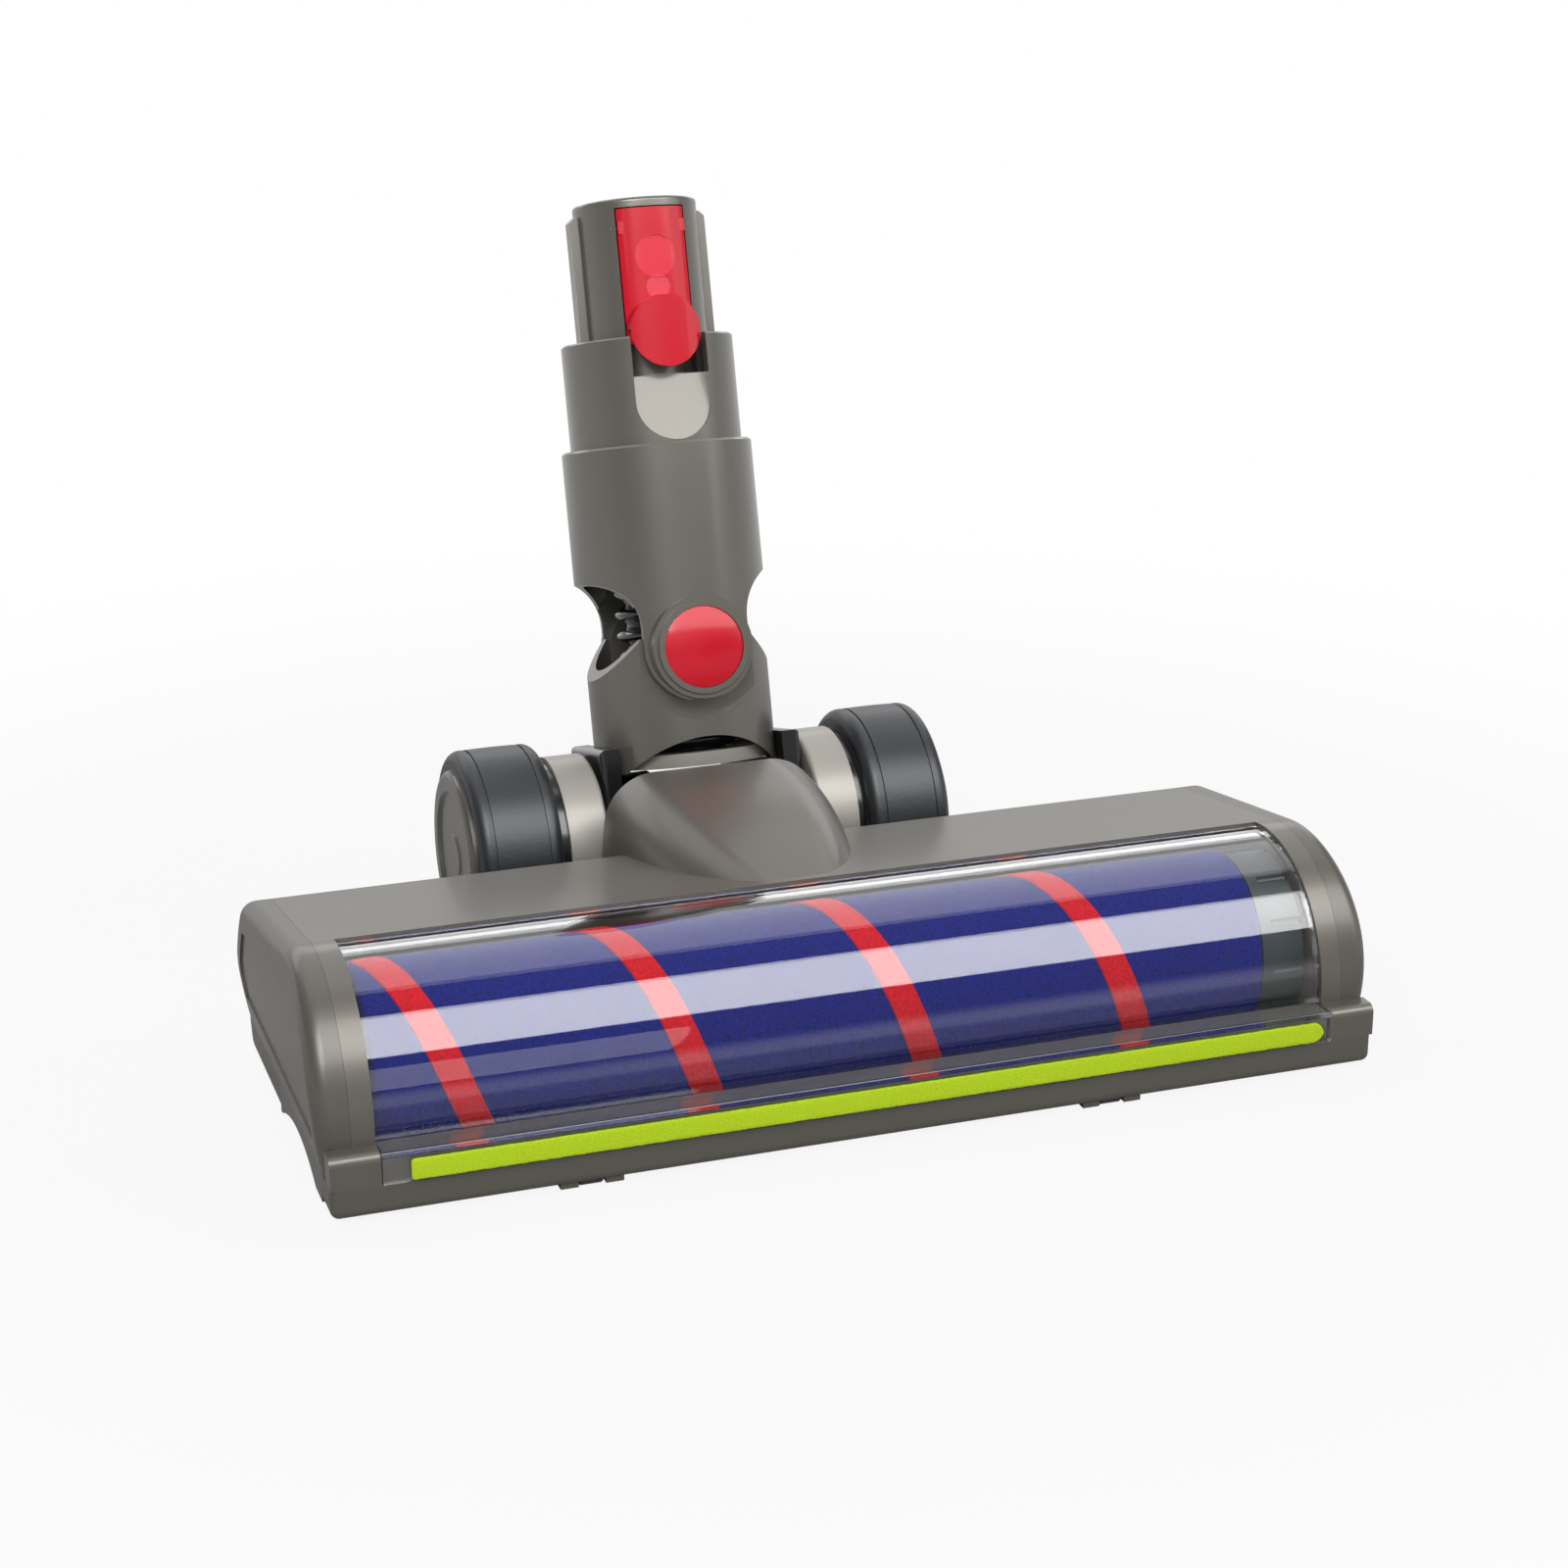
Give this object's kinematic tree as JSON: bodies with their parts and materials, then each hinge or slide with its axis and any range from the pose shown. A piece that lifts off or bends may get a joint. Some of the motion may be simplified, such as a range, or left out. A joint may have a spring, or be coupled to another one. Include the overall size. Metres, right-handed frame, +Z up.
{
  "type": "vacuum floor brush head",
  "caption": "Powered vacuum floor head: soft roller behind a clear window, rear wheels on silver barrels, tilting and swivelling neck with a red release latch.",
  "frame": {"origin": "middle of the footprint, on the floor", "axes": "+X along the roller to the belt side, +Y to the back where the neck is, +Z up"},
  "size_m": [0.254, 0.2024, 0.1887],
  "materials": {
    "housing": "satin warm grey moulding",
    "sole": "matt dark grey moulding",
    "end_plate": "fine matt dark grey",
    "window": "clear moulding",
    "green_felt": "pressed felt",
    "grey_felt": "pressed felt",
    "nap": "short soft pile",
    "stripe": "denser red pile",
    "core": "moulded core",
    "coupling": "moulded coupling",
    "dark": "black moulding",
    "silver": "satin silver",
    "tyre": "soft matt tyre",
    "hub": "satin dark grey",
    "neck": "satin warm grey moulding",
    "cuff": "pale moulding",
    "hose": "ribbed black hose",
    "red": "gloss red",
    "steel": "turned steel",
    "spring_steel": "sprung leaf",
    "contact": "plated pins",
    "belt": "flat belt",
    "pulley": "acetal",
    "motor": "motor can",
    "board": "circuit board"
  },
  "bodies": {
    "head": {"base_plate": "sole", "upper_housing": "housing", "duct_cover": "housing", "window": "window", "front_felt": "green_felt", "rear_felt": "grey_felt", "left_end_cap": "end_plate", "right_end_cap": "end_plate", "sole_screws": "steel", "roller_axle_pin": "steel", "axle_carrier": "dark", "left_barrel": "silver", "right_barrel": "silver", "wheel_axle": "steel", "left_wheel_seal": "dark", "right_wheel_seal": "dark", "motor": "motor", "control_board": "board", "drive_belt": "belt", "castor_forks": "sole", "castor_pins": "steel"},
    "cap_lock": {"end_cap_lock": "sole"},
    "roller": {"roller_tube": "core", "roller_nap": "nap", "roller_stripe": "stripe", "roller_free_end": "core", "roller_drive_end": "coupling", "roller_bearing": "steel", "roller_pulley": "pulley"},
    "motor_rotor": {"motor_shaft": "steel", "motor_pulley": "pulley"},
    "left_wheel": {"left_tyre": "tyre", "left_wheel_hub": "hub", "left_hub_cap": "hub"},
    "right_wheel": {"right_tyre": "tyre", "right_wheel_hub": "hub", "right_hub_cap": "hub"},
    "left_castor_wheel": {"left_castor": "dark"},
    "right_castor_wheel": {"right_castor": "dark"},
    "knuckle": {"lower_neck": "neck", "left_cheek": "dark", "right_cheek": "dark", "hose_lower_cuff": "cuff", "hose": "hose"},
    "neck_tube": {"upper_neck": "neck", "front_pivot_cap": "red", "rear_pivot_cap": "red", "swivel_pins": "steel", "collar": "neck", "connector_tube": "neck", "hose_upper_cuff": "cuff", "latch_pin": "steel", "latch_spring": "spring_steel", "contact_block": "dark", "contact_pins": "contact"},
    "release_latch": {"latch": "red"}
  },
  "joints": [
    {"name": "neck_pitch", "type": "hinge", "parent": "head", "child": "knuckle", "pos_m": [0, 0.04083, 0.0272], "axis": [-1, 0, 0], "range_deg": [-16, 65]},
    {"name": "neck_swivel", "type": "hinge", "parent": "knuckle", "child": "neck_tube", "pos_m": [0, 0.05412, 0.07353], "axis": [0, -0.9613, 0.2756], "range_deg": [-40, 40], "deforming": ["hose"]},
    {"name": "left_wheel_spin", "type": "hinge", "parent": "head", "child": "left_wheel", "pos_m": [-0.052, 0.04083, 0.0272], "axis": [1, 0, 0], "continuous": true},
    {"name": "right_wheel_spin", "type": "hinge", "parent": "head", "child": "right_wheel", "pos_m": [0.052, 0.04083, 0.0272], "axis": [1, 0, 0], "continuous": true},
    {"name": "left_castor_spin", "type": "hinge", "parent": "head", "child": "left_castor_wheel", "pos_m": [-0.067, -0.09567, 0.0027], "axis": [1, 0, 0], "continuous": true},
    {"name": "right_castor_spin", "type": "hinge", "parent": "head", "child": "right_castor_wheel", "pos_m": [0.058, -0.09567, 0.0027], "axis": [1, 0, 0], "continuous": true},
    {"name": "roller_spin", "type": "hinge", "parent": "head", "child": "roller", "pos_m": [0, -0.06477, 0.0228], "axis": [1, 0, 0], "continuous": true},
    {"name": "motor_spin", "type": "hinge", "parent": "head", "child": "motor_rotor", "pos_m": [0.1, -0.01827, 0.0195], "axis": [1, 0, 0], "continuous": true},
    {"name": "cap_lock_turn", "type": "hinge", "parent": "head", "child": "cap_lock", "pos_m": [-0.1155, -0.02627, 0.004], "axis": [0, 0, 1], "range_deg": [0, 90]},
    {"name": "latch_press", "type": "hinge", "parent": "neck_tube", "child": "release_latch", "pos_m": [0, 0.0723, 0.18046], "axis": [1, 0, 0], "range_deg": [0, 2.2], "stiffness_Nm_per_rad": 3, "springref_deg": -1.15, "deforming": ["latch_spring"]}
  ],
  "couplings": [
    {"joint": "motor_spin", "follows": "roller_spin", "ratio": 2.1667}
  ]
}
